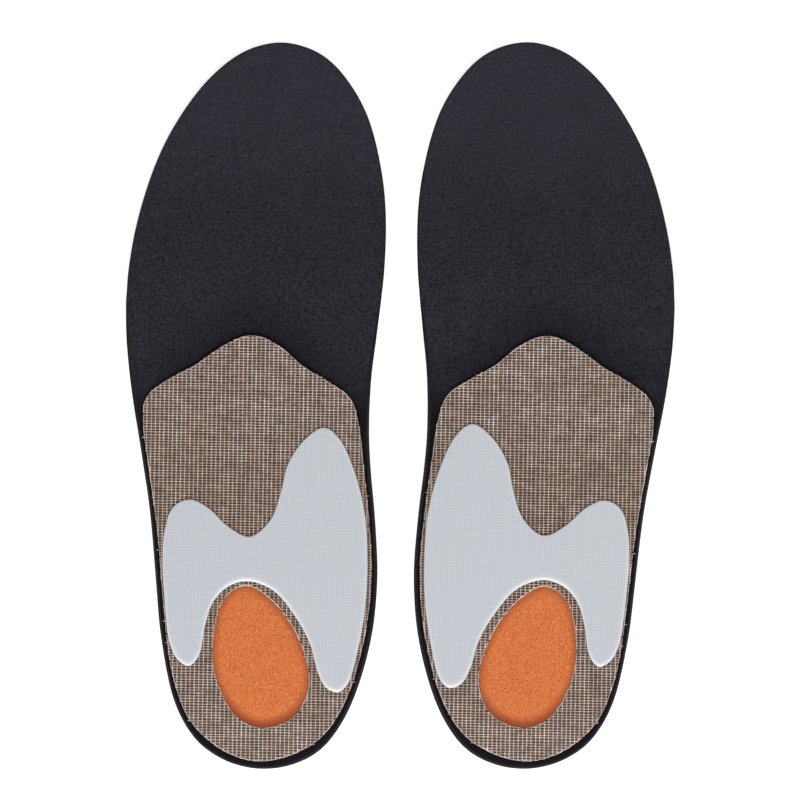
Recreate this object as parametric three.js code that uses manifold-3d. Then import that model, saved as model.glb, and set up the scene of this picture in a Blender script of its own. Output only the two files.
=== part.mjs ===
// A pair of cushioned insoles, lying foot side down with their undersides up.
//
// Each insole is a foam cushion with a heel cup, a textile cover on its foot side and, on the
// rear of its underside, a stiff board, a glass cloth, a stabiliser plate and a round heel pad.
// Millimetres. X runs across the pair, Y runs from the heels to the toes and Z is up.
// Each insole is drawn as the left one of the pair: "out" is the distance towards the outer side
// of the foot from the insole's centre line, and "along" is the distance from the heel's end.
// The right insole is its mirror image.

import * as THREE from 'three';
import { mergeVertices } from 'three/addons/utils/BufferGeometryUtils.js';
import Module from 'manifold-3d';

const wasm = await Module();
wasm.setup();

// ---- driving dimensions -------------------------------------------------------------------

const LENGTH = 270;
const HALF_PITCH = 48;
// the right insole lies this far behind the left one
const STAGGER = 1.7;

// heights above the surface that the pair lies on
const UNDERSIDE_HEIGHT = 15;
const TOE_UNDERSIDE_HEIGHT = 4.4;

// the heel end of the underside curves away over this length, by this much
const HEEL_CURVE_LENGTH = 28;
const HEEL_CURVE_DROP = 3.7;

// the underside falls from the shell's front to the flat toe between these places
const TOE_SLOPE_START = 159;
const TOE_SLOPE_END = 228;

// the cushion
const SEAT_THICKNESS = 4.4;
const TOE_THICKNESS = 3.5;
const RIM_WIDTH = 1.8;
const TOE_EDGE_WIDTH = 0.3;
const FLANK_INSET = 1.3;
const TOE_FLANK_INSET = 0.5;
const CUP_WALL_WIDTH = 15;
const TOE_WALL_WIDTH = 6;
// the cup's wall is at full height up to the first place and gone at the second
const INNER_WALL_TAPER = [92, 178];
const OUTER_WALL_TAPER = [70, 158];

// the layers, and the glue line between two of them
const COVER_THICKNESS = 0.8;
const BOARD_THICKNESS = 1.2;
const CLOTH_THICKNESS = 0.4;
const STABILISER_THICKNESS = 1.0;
const STABILISER_BEVEL = 0.3;
const GLUE_LINE = 0.1;

// the heel pad, which is let into the cushion through the board and the cloth
const PAD_DEPTH = 2.4;
const PAD_RECESS = 0.4;
const PAD_CLEARANCE = 0.6;
const POCKET_FLOOR_GAP = 0.15;
const PAD_CENTRE = new THREE.Vector2(1, 41);

// the ball of the foot, where the full-length layers bend
const FLEX_LINE = 176;
const FLEX_GAP = 0.3;

// ---- outlines: [out, along], round each piece from its heel end up its outer side ----------

const INSOLE_OUTLINE = [
  [-0.4, 0], [10, 1.4], [19.3, 5.7], [26.1, 11.6], [33.2, 24], [38.7, 48], [41.3, 72],
  [43.8, 96], [47.7, 120], [51.7, 144], [53.7, 168], [52.1, 192], [46.6, 216], [39.2, 234.5],
  [27.6, 252.5], [17.4, 262.6], [8.8, 267.7], [-2.2, LENGTH], [-13.3, 267.7], [-21.4, 262.6],
  [-29.7, 252.5], [-35.7, 240.5], [-41.3, 216], [-42.2, 192], [-40.3, 168], [-37.7, 144],
  [-37.5, 120], [-39.8, 96], [-41.3, 72], [-39.2, 48], [-32.2, 24], [-25.2, 11.8],
  [-19.1, 5.8], [-10, 1.5],
];

const SHELL_OUTLINE = [
  [-0.3, 3.4], [14.7, 7.2], [27.4, 18.6], [34.1, 36.2], [37.5, 60], [40.4, 88], [44, 112],
  [46.3, 128], [45.2, 137.4], [38.6, 143.2], [27.2, 149.8], [18.8, 155.8], [11.5, 159.8],
  [6.6, 160.9], [1.6, 159.8], [-5.4, 155.8], [-12.4, 149.8], [-22.6, 143.8], [-30.2, 138.2],
  [-33.1, 130], [-35.4, 114], [-38.1, 90], [-39.1, 72], [-36.5, 48], [-29.4, 24.5], [-19.6, 11],
];

const HOLE_OUTLINE = [
  [7.1, 68.4], [-3.5, 62.2], [-13.1, 48.1], [-16.7, 32.3], [-12.1, 21], [-0.4, 15.7],
  [9.2, 19.2], [17.1, 31.7], [19.3, 47.4], [15.1, 63.7],
];

const STABILISER_OUTLINE = [
  [6.3, 86.2], [15, 90.4], [21.5, 96.4], [28.6, 99.6], [34.4, 96.8], [37.2, 89], [37.9, 78],
  [36.6, 60], [34.8, 47], [31.8, 40.8], [27.6, 38.6], [24.2, 43], [22.4, 53], [19.6, 62],
  [14.2, 68], [6.5, 70.3], [-3.2, 66.8], [-11.4, 57.4], [-17, 47.4], [-20.2, 36.6],
  [-23.2, 31.4], [-27.2, 29.8], [-30.6, 32.6], [-34.4, 46], [-36.8, 62], [-37.3, 78],
  [-35.9, 96], [-31.6, 112], [-26.2, 123], [-20.6, 127], [-13.2, 122], [-7.6, 113],
  [-5.2, 102.6], [-1.4, 92.4],
];

// ---- shape helpers ---------------------------------------------------------------------------

const STATIONS = 34;
const SHELL_SAMPLES = 84;
const HOLE_SAMPLES = 44;
const PAD_SAMPLES = 40;
const STABILISER_SAMPLES = 110;
const HEEL_CURVE_STEPS = 7;
const SEARCH_STEPS = 40;
// cutting solids reach this far, which is beyond any piece
const PRISM_REACH = 40;
const WIDE_REACH = 160;
const LAYER_OVERRUN = 4;
const MERGE_DISTANCE = 1e-4;

function smoothStep(low, high, value) {
  return THREE.MathUtils.smoothstep(value, low, high);
}

function between(rear, toe, along) {
  return THREE.MathUtils.lerp(rear, toe, smoothStep(TOE_SLOPE_START, FLEX_LINE, along));
}

// height of the cushion's underside
function undersideHeight(along) {
  const fromCurve = Math.max(0, HEEL_CURVE_LENGTH - along) / HEEL_CURVE_LENGTH;
  const toeFall = UNDERSIDE_HEIGHT - TOE_UNDERSIDE_HEIGHT;
  const fallen = smoothStep(TOE_SLOPE_START, TOE_SLOPE_END, along);
  return UNDERSIDE_HEIGHT - HEEL_CURVE_DROP * fromCurve ** 2 - toeFall * fallen;
}

// height of the cushion's foot side, inside the cup
function seatHeight(along) {
  return undersideHeight(along) - between(SEAT_THICKNESS, TOE_THICKNESS, along);
}

// height of the cup's rim, which lies on the table round the heel and rises to the foot side
function rimHeight({ point }) {
  const [start, end] = point.x > 0 ? OUTER_WALL_TAPER : INNER_WALL_TAPER;
  return seatHeight(point.y) * smoothStep(start, end, point.y);
}

function closedCurve(outline) {
  const points = outline.map(([out, along]) => new THREE.Vector3(out, along, 0));
  return new THREE.CatmullRomCurve3(points, true, 'centripetal');
}

// places round the insole's outline: the heel's end, the outer side's stations, the toe's end
// and the inner side's stations back to the heel, so that stations face each other across it
function outlinePlaces() {
  const curve = closedCurve(INSOLE_OUTLINE);
  const toe = INSOLE_OUTLINE.findIndex(([, along]) => along === LENGTH) / INSOLE_OUTLINE.length;
  const places = [];
  for (let i = 0; i < 2 * STATIONS; i += 1) {
    const level = LENGTH * (1 - Math.cos(Math.PI * i / STATIONS)) / 2;
    const t = i <= STATIONS
      ? parameterAt(curve, 0, toe, level)
      : parameterAt(curve, 1, toe, level);
    const point = curve.getPoint(t);
    const tangent = curve.getTangent(t);
    places.push({ point, inward: new THREE.Vector2(-tangent.y, tangent.x) });
  }
  return places;
}

// the curve's parameter between the heel and the toe where it is level with a station
function parameterAt(curve, heel, toe, level) {
  let low = heel;
  let high = toe;
  for (let step = 0; step < SEARCH_STEPS; step += 1) {
    const middle = (low + high) / 2;
    if (curve.getPoint(middle).y < level) {
      low = middle;
    } else {
      high = middle;
    }
  }
  return (low + high) / 2;
}

// the point at a distance in from a place on the outline
function insetPoint({ point, inward }, distance) {
  return new THREE.Vector2(point.x + inward.x * distance, point.y + inward.y * distance);
}

// a ring of points, whose inset and height are functions of the place on the outline
function ring(places, inset, height) {
  return places.map((place) => {
    const plan = insetPoint(place, inset(place));
    return new THREE.Vector3(plan.x, plan.y, height(place, plan.y));
  });
}

// a closed solid through rings that go outward over its top, down and inward over its bottom;
// the faces between the first rings are split along the same diagonals as those of a
// surface that faces them, so that two nested solids stay parallel
function solidFromRings(rings, outwardRings) {
  const count = rings[0].length;
  const positions = rings.flat().flatMap((point) => point.toArray());
  const index = [];
  for (let r = 0; r + 1 < rings.length; r += 1) {
    for (let i = 0; i < count; i += 1) {
      const next = (i + 1) % count;
      const [a, b] = [r * count + i, r * count + next];
      const [c, d] = [a + count, b + count];
      if (r + 1 < outwardRings) {
        index.push(a, c, b, b, c, d);
      } else {
        index.push(a, c, d, a, d, b);
      }
    }
  }
  index.push(...capStrips(count, 0));
  index.push(...capStrips(count, (rings.length - 1) * count).reverse());
  const geometry = new THREE.BufferGeometry();
  geometry.setAttribute('position', new THREE.Float32BufferAttribute(positions, 3));
  geometry.setIndex(index);
  return geometry;
}

// triangles across a ring, between stations that face each other
function capStrips(count, first) {
  const half = count / 2;
  const index = [first, first + 1, first + count - 1];
  for (let i = 1; i < half - 1; i += 1) {
    const [outer, inner] = [first + i, first + count - i];
    index.push(outer, outer + 1, inner, inner, outer + 1, inner - 1);
  }
  index.push(first + half - 1, first + half, first + half + 1);
  return index;
}

// the foot side's wall and seat: share 0 is the rim's inner edge and share 1 is the seat
function cupPoint(place, share) {
  const angle = share * Math.PI / 2;
  const along = place.point.y;
  const rimWidth = between(RIM_WIDTH, TOE_EDGE_WIDTH, along);
  const wallWidth = between(CUP_WALL_WIDTH, TOE_WALL_WIDTH, along);
  const seatEdge = insetPoint(place, rimWidth + wallWidth);
  const wallHeight = seatHeight(seatEdge.y) - rimHeight(place);
  const inset = rimWidth + wallWidth * (1 - Math.cos(angle));
  const height = rimHeight(place) + wallHeight * Math.sin(angle);
  const towardsFoot = new THREE.Vector2(
    wallHeight * Math.cos(angle),
    -wallWidth * Math.sin(angle) - TOE_EDGE_WIDTH,
  );
  return { inset, height, towardsFoot: towardsFoot.normalize() };
}

// a ring on the foot side, moved off the cushion by a distance
function cupRing(places, share, distance) {
  const inset = (place) => {
    const at = cupPoint(place, share);
    return at.inset + at.towardsFoot.x * distance;
  };
  const height = (place) => {
    const at = cupPoint(place, share);
    return at.height + at.towardsFoot.y * distance;
  };
  return ring(places, inset, height);
}

function prism(outline, samples) {
  const points = closedCurve(outline).getSpacedPoints(samples).slice(0, -1);
  const shape = new THREE.Shape(points.map((point) => new THREE.Vector2(point.x, point.y)));
  return new THREE.ExtrudeGeometry(shape, { depth: PRISM_REACH, bevelEnabled: false });
}

// a wide layer that follows the underside, between two distances from it
function layer(bottom, top) {
  const stations = [-PRISM_REACH];
  for (let step = 0; step <= HEEL_CURVE_STEPS; step += 1) {
    stations.push(HEEL_CURVE_LENGTH * step / HEEL_CURVE_STEPS);
  }
  stations.push(TOE_SLOPE_START + LAYER_OVERRUN);
  const level = (along) => undersideHeight(THREE.MathUtils.clamp(along, 0, TOE_SLOPE_START));
  const low = stations.map((along) => new THREE.Vector2(along, level(along) + bottom));
  const high = stations.map((along) => new THREE.Vector2(along, level(along) + top));
  const shape = new THREE.Shape([...low, ...high.reverse()]);
  const geometry = new THREE.ExtrudeGeometry(shape, { depth: WIDE_REACH, bevelEnabled: false });
  const turned = new THREE.Matrix4().makeBasis(
    new THREE.Vector3(0, 1, 0),
    new THREE.Vector3(0, 0, 1),
    new THREE.Vector3(1, 0, 0),
  );
  return geometry.applyMatrix4(turned).translate(-WIDE_REACH / 2, 0, 0);
}

function box(alongStart, alongEnd) {
  const geometry = new THREE.BoxGeometry(WIDE_REACH, alongEnd - alongStart, 2 * PRISM_REACH);
  return geometry.translate(0, (alongStart + alongEnd) / 2, 0);
}

function toManifold(geometry) {
  const bare = geometry.clone();
  bare.deleteAttribute('normal');
  bare.deleteAttribute('uv');
  const merged = mergeVertices(bare, MERGE_DISTANCE);
  return new wasm.Manifold(new wasm.Mesh({
    numProp: 3,
    vertProperties: new Float32Array(merged.attributes.position.array),
    triVerts: new Uint32Array(merged.index.array),
  }));
}

function toGeometry(manifold) {
  const mesh = manifold.getMesh();
  const geometry = new THREE.BufferGeometry();
  geometry.setAttribute('position', new THREE.BufferAttribute(mesh.vertProperties, 3));
  geometry.setIndex(new THREE.BufferAttribute(mesh.triVerts, 1));
  return geometry;
}

// ---- the pieces of one insole ------------------------------------------------------------------

const CUP_SHARES = [0.06, 0.3, 0.55, 0.78, 1];

function wholeCushion() {
  const places = outlinePlaces();
  const flank = ({ point }) => between(FLANK_INSET, TOE_FLANK_INSET, point.y);
  const underside = ring(places, flank, (place, along) => undersideHeight(along));
  const outerRim = ring(places, () => 0, rimHeight);
  const cup = [0, ...CUP_SHARES].map((share) => cupRing(places, share, 0));
  const body = toManifold(solidFromRings([underside, outerRim, ...cup], 2));
  const depth = PAD_DEPTH + POCKET_FLOOR_GAP;
  const hole = toManifold(prism(HOLE_OUTLINE, HOLE_SAMPLES));
  const pocket = hole.intersect(toManifold(layer(-depth, PRISM_REACH)));
  return body.subtract(pocket);
}

function wholeCover() {
  const places = outlinePlaces();
  const upper = [...CUP_SHARES].reverse().map((share) => cupRing(places, share, GLUE_LINE));
  const lowerDistance = GLUE_LINE + COVER_THICKNESS;
  const lower = CUP_SHARES.map((share) => cupRing(places, share, lowerDistance));
  return toManifold(solidFromRings([...upper, ...lower], upper.length));
}

function rearOf(whole) {
  const reach = toManifold(box(-PRISM_REACH, FLEX_LINE - FLEX_GAP / 2));
  return toGeometry(whole.intersect(reach));
}

function forefootOf(whole) {
  const reach = toManifold(box(FLEX_LINE + FLEX_GAP / 2, 2 * LENGTH));
  return toGeometry(whole.intersect(reach));
}

function shellLayer(bottom, thickness) {
  const shell = toManifold(prism(SHELL_OUTLINE, SHELL_SAMPLES));
  const sheet = shell.intersect(toManifold(layer(bottom, bottom + thickness)));
  return toGeometry(sheet.subtract(toManifold(prism(HOLE_OUTLINE, HOLE_SAMPLES))));
}

const BOARD_BOTTOM = GLUE_LINE;
const CLOTH_BOTTOM = BOARD_BOTTOM + BOARD_THICKNESS + GLUE_LINE;
const CLOTH_TOP = CLOTH_BOTTOM + CLOTH_THICKNESS;
const STABILISER_BOTTOM = CLOTH_TOP + GLUE_LINE;

function stabiliser() {
  const curve = closedCurve(STABILISER_OUTLINE);
  const points = curve.getSpacedPoints(STABILISER_SAMPLES).slice(0, -1);
  const shape = new THREE.Shape(points.map((point) => new THREE.Vector2(point.x, point.y)));
  const geometry = new THREE.ExtrudeGeometry(shape, {
    depth: STABILISER_THICKNESS - 2 * STABILISER_BEVEL,
    bevelThickness: STABILISER_BEVEL,
    bevelSize: STABILISER_BEVEL,
    bevelOffset: -STABILISER_BEVEL,
    bevelSegments: 1,
  });
  return geometry.translate(0, 0, UNDERSIDE_HEIGHT + STABILISER_BOTTOM + STABILISER_BEVEL);
}

function heelPad() {
  const inset = HOLE_OUTLINE.map(([out, along]) => {
    const fromCentre = new THREE.Vector2(out, along).sub(PAD_CENTRE);
    fromCentre.setLength(fromCentre.length() - PAD_CLEARANCE);
    return PAD_CENTRE.clone().add(fromCentre).toArray();
  });
  const whole = toManifold(prism(inset, PAD_SAMPLES));
  return toGeometry(whole.intersect(toManifold(layer(-PAD_DEPTH, CLOTH_TOP - PAD_RECESS))));
}

function material(name, color, roughness, metalness = 0) {
  return new THREE.MeshStandardMaterial({ name, color, roughness, metalness });
}

const MATERIALS = {
  foam: material('black_foam', 0x2d2c33, 0.9),
  cover: material('black_textile', 0x232327, 0.95),
  board: material('brown_board', 0x5a4030, 0.8),
  cloth: material('glass_cloth', 0xcfc6b4, 0.6),
  stabiliser: material('pale_plastic', 0xc5c8cd, 0.35),
  pad: material('orange_foam', 0xd77944, 0.85),
};

function insolePieces() {
  const cushion = wholeCushion();
  const cover = wholeCover();
  return [
    ['cushion_rear', rearOf(cushion), MATERIALS.foam],
    ['cushion_forefoot', forefootOf(cushion), MATERIALS.foam],
    ['top_cover_rear', rearOf(cover), MATERIALS.cover],
    ['top_cover_forefoot', forefootOf(cover), MATERIALS.cover],
    ['shell_board', shellLayer(BOARD_BOTTOM, BOARD_THICKNESS), MATERIALS.board],
    ['glass_cloth', shellLayer(CLOTH_BOTTOM, CLOTH_THICKNESS), MATERIALS.cloth],
    ['stabiliser', stabiliser(), MATERIALS.stabiliser],
    ['heel_pad', heelPad(), MATERIALS.pad],
  ];
}

// the same geometry with out and in exchanged, and its faces still pointing outward
function mirrored(geometry) {
  const indexed = geometry.index ? geometry.clone() : mergeVertices(geometry);
  const copy = indexed.scale(-1, 1, 1);
  copy.setIndex(Array.from(copy.index.array).reverse());
  return copy;
}

// ---- the pair ------------------------------------------------------------------------------------

const pair = new THREE.Group();
pair.position.y = -LENGTH / 2;

const pieces = insolePieces();
for (const side of ['right', 'left']) {
  const insole = new THREE.Group();
  const sign = side === 'left' ? 1 : -1;
  insole.position.set(sign * HALF_PITCH, sign * STAGGER / 2, 0);
  for (const [name, geometry, finish] of pieces) {
    const mesh = new THREE.Mesh(side === 'left' ? geometry : mirrored(geometry), finish);
    mesh.name = `${side}_${name}`;
    insole.add(mesh);
  }
  pair.add(insole);
}

export default pair;
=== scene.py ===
"""The looks of a pair of cushioned insoles, lying foot side down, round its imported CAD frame.

Each insole is worked out in millimetres as the left one of the pair, as (out, along, up): out
towards the outer side of the foot from the insole's centre line, along from the heel's end and
up from the table. The right one is its mirror image. Meshes go out in metres, in the row frame.
"""

import math

import bmesh
import bpy
import numpy as np
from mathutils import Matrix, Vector


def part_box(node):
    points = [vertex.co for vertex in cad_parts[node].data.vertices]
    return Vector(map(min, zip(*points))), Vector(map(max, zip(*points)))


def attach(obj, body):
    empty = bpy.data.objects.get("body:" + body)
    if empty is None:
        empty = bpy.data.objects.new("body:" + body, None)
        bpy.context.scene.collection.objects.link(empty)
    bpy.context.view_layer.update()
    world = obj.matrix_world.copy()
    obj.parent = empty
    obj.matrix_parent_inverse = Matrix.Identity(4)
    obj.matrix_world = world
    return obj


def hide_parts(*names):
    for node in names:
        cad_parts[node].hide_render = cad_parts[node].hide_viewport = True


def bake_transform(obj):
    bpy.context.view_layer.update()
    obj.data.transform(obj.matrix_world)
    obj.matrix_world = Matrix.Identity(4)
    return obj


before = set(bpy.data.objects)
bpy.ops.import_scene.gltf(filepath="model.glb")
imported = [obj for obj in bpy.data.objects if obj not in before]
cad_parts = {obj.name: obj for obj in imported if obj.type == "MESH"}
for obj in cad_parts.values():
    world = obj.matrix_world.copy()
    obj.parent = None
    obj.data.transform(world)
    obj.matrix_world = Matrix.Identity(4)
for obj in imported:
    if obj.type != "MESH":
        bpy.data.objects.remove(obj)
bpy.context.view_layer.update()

# ---- sizes in millimetres ---------------------------------------------------------------------

MM = 0.001
HALF_PITCH = 48.0
SIDES = {"left": 1, "right": -1}
HEEL_END = {side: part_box(f"{side}_cushion_rear")[0].y / MM for side in SIDES}
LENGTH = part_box("left_cushion_forefoot")[1].y / MM - HEEL_END["left"]

UNDERSIDE_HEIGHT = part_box("left_cushion_rear")[1].z / MM
TOE_UNDERSIDE_HEIGHT = 4.4
HEEL_CURVE_LENGTH = 28.0
HEEL_CURVE_DROP = 3.7
TOE_SLOPE_START = 159.0
TOE_SLOPE_END = 228.0

SEAT_THICKNESS = 4.4
TOE_THICKNESS = 3.5
RIM_WIDTH = 1.8
TOE_EDGE_WIDTH = 0.3
FLANK_INSET = 1.3
TOE_FLANK_INSET = 0.5
CUP_WALL_WIDTH = 15.0
TOE_WALL_WIDTH = 6.0
INNER_WALL_TAPER = (92.0, 178.0)
OUTER_WALL_TAPER = (70.0, 158.0)

# the cushion's rounded edges, the ring inside its underside's edge, and the width of the
# sloping wall round the pad's pocket
UNDERSIDE_ROUNDING = 0.7
FLANK_ROUNDING = 0.5
RIM_ROUNDING = 0.4
UNDERSIDE_BORDER = 3.0
POCKET_WALL = 1.6

# the share of the cup's wall, down from the rim, that the cover leaves bare, and how its edge is
# rounded
COVER_START = 0.06
COVER_ROUNDING = 0.25

GLUE_LINE = 0.1
COVER_THICKNESS = 0.8
BOARD_THICKNESS = 1.2
CLOTH_THICKNESS = 0.4
STABILISER_THICKNESS = 1.0
PAD_DEPTH = 2.4
PAD_RECESS = 0.4
PAD_CLEARANCE = 0.05

BOARD_BOTTOM = GLUE_LINE
BOARD_TOP = BOARD_BOTTOM + BOARD_THICKNESS
CLOTH_BOTTOM = BOARD_TOP + GLUE_LINE
CLOTH_TOP = CLOTH_BOTTOM + CLOTH_THICKNESS
CLOTH_MIDDLE = (CLOTH_BOTTOM + CLOTH_TOP) / 2
STABILISER_BOTTOM = CLOTH_TOP + GLUE_LINE
STABILISER_TOP = STABILISER_BOTTOM + STABILISER_THICKNESS

BOARD_CHAMFER = 0.15
# the plate's edge, upwards from its bottom: the distance in from its outline, and the height
STABILISER_EDGE = (
    (0.1, STABILISER_BOTTOM),
    (0, STABILISER_BOTTOM + 0.15),
    (0, STABILISER_BOTTOM + 0.45),
    (0.25, STABILISER_TOP - 0.2),
    (0.6, STABILISER_TOP - 0.06),
    (1.1, STABILISER_TOP),
    (1.6, STABILISER_TOP),
    (2.2, STABILISER_TOP),
)
# how far the CAD plate's top outline lies in from its side
CAD_PLATE_CHAMFER = 0.3

# how much painted shade darkens the foam beside the shell, out to the first reach and fading by
# twice that, and how much right ahead of the shell's front and further ahead, fading by the two
# reaches
BESIDE_SHADE = 0.85
NEAR_FRONT_SHADE = 0.75
FAR_FRONT_SHADE = 0.48
SHELL_SHADE_REACH = 6.0
FRONT_SHADE_REACH = 22.0
# beside the shell turns into ahead of it between these levels
SHELL_FRONT = (128.0, 152.0)
# the foam is dark where it has fallen this far at its edge, but not this near to the pad's hole
FLANK_FALL = (0.15, 0.9)
POCKET_BORDER = 8.0
# painted light makes it paler towards the toe, by this share between these levels
TOE_LIGHT_SHARE = 0.4
TOE_LIGHT_LEVELS = (190.0, 262.0)

# where the forefoot bends
FLEX_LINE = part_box("left_cushion_rear")[1].y / MM - HEEL_END["left"]

# the open weave: threads along the foot and threads across it
WARP_PITCH = 1.607
WARP_WIDTH = 0.44
WEFT_PITCH = 1.013
WEFT_WIDTH = 0.38
THREAD_THICKNESS = 0.2
HOLE_CLEARANCE = 0.1
WEAVE_SEED = 7
# how uneven it is: each whole thread's place and share of its width, and then its place and
# share of its width at each crossing
THREAD_SHIFT = 0.05
THREAD_WIDTH_SPREAD = 0.04
CROSSING_SHIFT = 0.035
CROSSING_WIDTH_SPREAD = 0.12

# how bright the threads are, from 0 to 1, how much that varies from thread to thread and from
# crossing to crossing, and how much is added at the heel, at the shell's front and in slubs
WARP_TINT = 0.53
WEFT_TINT = 0.32
THREAD_TINT_SPREAD = 0.06
CROSSING_TINT_SPREAD = 0.1
HEEL_BRIGHTNESS = 0.15
HEEL_LEVELS = (20.0, 80.0)
FRONT_BRIGHTNESS = 0.16
FRONT_LEVELS = (105.0, 135.0)
SLUB_SHARE = 0.006
SLUB_BRIGHTNESS = 0.45

# the broken line of yarn along a cut: each outline's width of yarn and distance in from the cut,
# how bright it is, how much painted highlight is added where the cut faces the heel, and how uneven
# it is
SHELL_CUT = (0.38, 0.16)
HOLE_CUT = (0.5, -0.04)
CUT_TINT = (0.4, 0.7)
CUT_GLINT = 0.45
CUT_STEP = 0.9
CUT_SHIFT = 0.07
CUT_WIDTH_SHARE = (0.55, 1.1)
CUT_THICKNESS = CLOTH_THICKNESS - 0.02
# how many steps a run of yarn takes and how many are left out after it, from the first number
# and below the second
RUN_STEPS = (2, 9)
GAP_STEPS = (0, 2)

# the share of the threads' ends that stick out past the cut, and how far they do
FRAYED_SHARE = 0.02
FRAY_LENGTH = (0.3, 1.1)

# the pad at its toe end and at its heel end: how far its edge lies below its crown, and how
# wide and how dark the painted shade along its edge is
PAD_EDGE_DROP = (0.5, 0.2)
PAD_SHADE_REACH = (2.6, 4.6)
PAD_SHADE = (0.5, 1.0)
PAD_SHADE_STEEPNESS = 1.4
# the share of its length over which it turns from the one to the other
PAD_DROP_TURN = 0.45
PAD_SHADE_TURN = 0.35
# its rings' shares of the way in to its centre, and the share over which it rises to its crown
PAD_RINGS = (0.012, 0.03, 0.055, 0.085, *np.linspace(0.115, 0.97, 52))
PAD_CROWN_SHARE = 0.24
PAD_CROWN_POWER = 2.2
PAD_GRAIN = 0.035
PAD_SEED = 11

# how much nearer to the toe the plate is stuck on than its CAD node
PLATE_SHIFT = {"left": 0.6, "right": 0.0}
# its painted highlight along the rim: how wide it is, where it faces the heel by up to 1 mm more,
# how fast it fades, and how bright it is where it faces away from the heel
PLATE_HIGHLIGHT_REACH = 1.2
PLATE_HIGHLIGHT_POWER = 1.4
PLATE_HIGHLIGHT_LEAST = 0.35

# the surface patterns of the two insoles are taken this far apart, so that they differ
PATTERN_SHIFT = {"left": 0.0, "right": 50.0}

# how finely the meshes are divided
CURVE_STEPS = 12
OUTLINE_STEP = 0.8
PLATE_STEP = 0.7
PAD_STEP = 0.45
STATIONS = 170
CAP_COLUMNS = 40
HEEL_BANDS = 14

# reading the CAD pieces: how far up a normal points at least on a top face and on a flank, and
# at most on a rim; a place well inside the insole; and how near its outline's points may be
TOP_FACE_UP = 0.5
FLANK_UP = 0.02
RIM_UP = -0.5
CENTRE_OUT = 5.0
LEAST_GAP = 1.0
WELD_DECIMALS = 3

# the most of a profile's side that a rounding takes
ROUNDING_SHARE = 0.45
TINY = 1e-12


# ---- the insole's surfaces --------------------------------------------------------------------

def smooth_step(low, high, value):
    t = np.clip((np.asarray(value, float) - low) / (high - low), 0, 1)
    return t * t * (3 - 2 * t)


def part_way(pair, share):
    return pair[0] + (pair[1] - pair[0]) * share


def between(rear, toe, along):
    """A value that changes from the rear's to the toe's ahead of the shell."""
    return rear + (toe - rear) * smooth_step(TOE_SLOPE_START, FLEX_LINE, along)


def underside_height(along):
    curve = np.maximum(0, HEEL_CURVE_LENGTH - np.asarray(along, float)) / HEEL_CURVE_LENGTH
    slope = smooth_step(TOE_SLOPE_START, TOE_SLOPE_END, along)
    fall = (UNDERSIDE_HEIGHT - TOE_UNDERSIDE_HEIGHT) * slope
    return UNDERSIDE_HEIGHT - HEEL_CURVE_DROP * curve ** 2 - fall


def seat_height(along):
    return underside_height(along) - between(SEAT_THICKNESS, TOE_THICKNESS, along)


def rim_height(plan):
    out, along = plan[:, 0], plan[:, 1]
    inner = smooth_step(*INNER_WALL_TAPER, along)
    outer = smooth_step(*OUTER_WALL_TAPER, along)
    return seat_height(along) * np.where(out > 0, outer, inner)


# ---- outlines, read from the CAD pieces -------------------------------------------------------

def cad_triangles(node):
    """A left insole's CAD node: its points as (out, along, up), its triangles, their normals."""
    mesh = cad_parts[node].data
    mesh.calc_loop_triangles()
    points = np.array([v.co for v in mesh.vertices], float) / MM
    points -= np.array([HALF_PITCH, HEEL_END["left"], 0])
    places, same = np.unique(np.round(points, WELD_DECIMALS), axis=0, return_inverse=True)
    triangles = same.reshape(-1)[np.array([t.vertices for t in mesh.loop_triangles])]
    a, b, c = (places[triangles[:, i]] for i in range(3))
    normals = np.cross(b - a, c - a)
    normals /= np.maximum(np.linalg.norm(normals, axis=1), TINY)[:, None]
    return places, triangles, normals


def edges_of(triangles):
    return {(int(t[i]), int(t[(i + 1) % 3])) for t in triangles for i in range(3)}


def top_outlines(node):
    """The closed outlines in plan round a node's upward faces, the longest first."""
    places, triangles, normals = cad_triangles(node)
    edges = edges_of(triangles[normals[:, 2] > TOP_FACE_UP])
    onward = dict(e for e in edges if (e[1], e[0]) not in edges)
    outlines = []
    while onward:
        start, here = onward.popitem()
        chain = [start]
        while here != start:
            chain.append(here)
            here = onward.pop(here)
        outlines.append(places[chain][:, :2])
    return sorted(outlines, key=len, reverse=True)


def insole_outline():
    """The cushion's outer outline, which is where its flank meets its rim."""
    found = []
    for node in ("left_cushion_rear", "left_cushion_forefoot"):
        places, triangles, normals = cad_triangles(node)
        up = edges_of(triangles[normals[:, 2] > FLANK_UP])
        down = edges_of(triangles[normals[:, 2] < RIM_UP])
        found += [places[a][:2] for a, b in up if (b, a) in down]
    points = np.array(found)
    centre = np.array([CENTRE_OUT, LENGTH / 2])
    order = np.argsort(np.arctan2(points[:, 1] - centre[1], points[:, 0] - centre[0]))
    return apart(points[order])


def apart(points):
    """The points of a closed outline without those that are too near to the one before."""
    kept = [points[0]]
    for point in points[1:]:
        from_last = np.linalg.norm(point - kept[-1])
        from_first = np.linalg.norm(point - points[0])
        if from_last > LEAST_GAP and from_first > LEAST_GAP / 2:
            kept.append(point)
    return np.array(kept)


def smooth_closed(points, step):
    """A closed curve through the points, counter-clockwise, with a point at about every step."""
    if np.sum(np.cross(points, np.roll(points, -1, axis=0))) < 0:
        points = points[::-1]
    fine = []
    for i in range(len(points)):
        p0, p1, p2, p3 = (points[(i + k - 1) % len(points)] for k in range(4))
        t = np.linspace(0, 1, CURVE_STEPS, endpoint=False)[:, None]
        fine.append(0.5 * (2 * p1 + (p2 - p0) * t + (2 * p0 - 5 * p1 + 4 * p2 - p3) * t ** 2
                           + (3 * p1 - p0 - 3 * p2 + p3) * t ** 3))
    return even(np.vstack(fine), step)


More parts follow.
